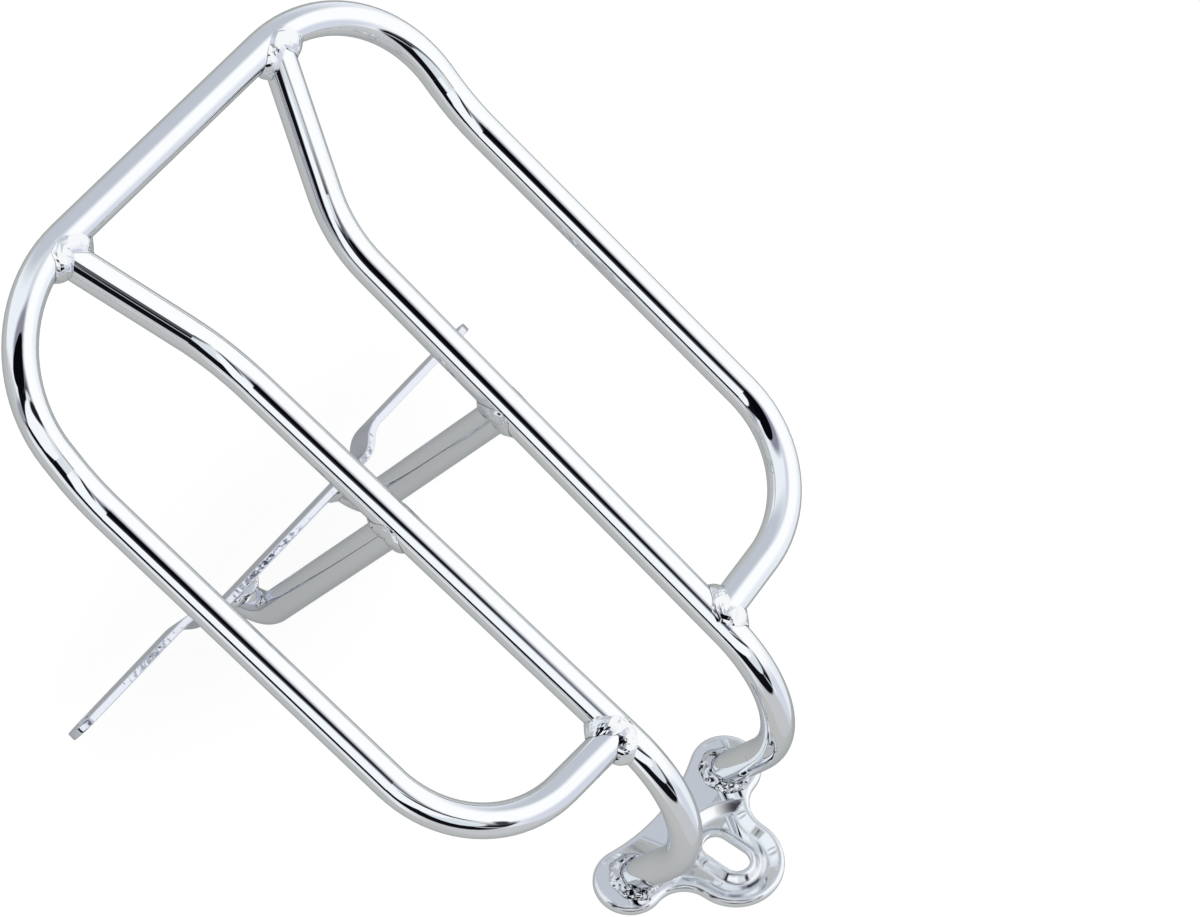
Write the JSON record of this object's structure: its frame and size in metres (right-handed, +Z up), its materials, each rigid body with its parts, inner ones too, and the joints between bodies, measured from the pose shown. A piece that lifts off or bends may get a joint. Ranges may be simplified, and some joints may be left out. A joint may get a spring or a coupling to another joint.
{
  "type": "motorcycle luggage rack",
  "caption": "Chromed tubular luggage rack for a motorcycle: a bent outer loop and two rails on a slotted front plate, with posts down to a cross strap.",
  "frame": {"origin": "rear face of the strap's arms, midway between the centres of its two bolt holes", "axes": "+Y towards the front of the motorcycle, +X to its right, +Z up, square to the holes' axes"},
  "size_m": [0.237, 0.3579, 0.1683],
  "materials": {
    "chrome": "polished",
    "chrome_weld": "plated weld"
  },
  "bodies": {
    "root": {"outer_loop": "chrome", "rail_left": "chrome", "rail_right": "chrome", "post_left": "chrome", "post_right": "chrome", "rear_strap": "chrome", "front_plate": "chrome", "weld_crossbar_left": "chrome_weld", "weld_crossbar_right": "chrome_weld", "weld_loop_left": "chrome_weld", "weld_loop_right": "chrome_weld", "weld_post_top_left": "chrome_weld", "weld_post_top_right": "chrome_weld", "weld_post_foot_left": "chrome_weld", "weld_post_foot_right": "chrome_weld", "weld_leg_left": "chrome_weld", "weld_leg_right": "chrome_weld"}
  },
  "joints": []
}
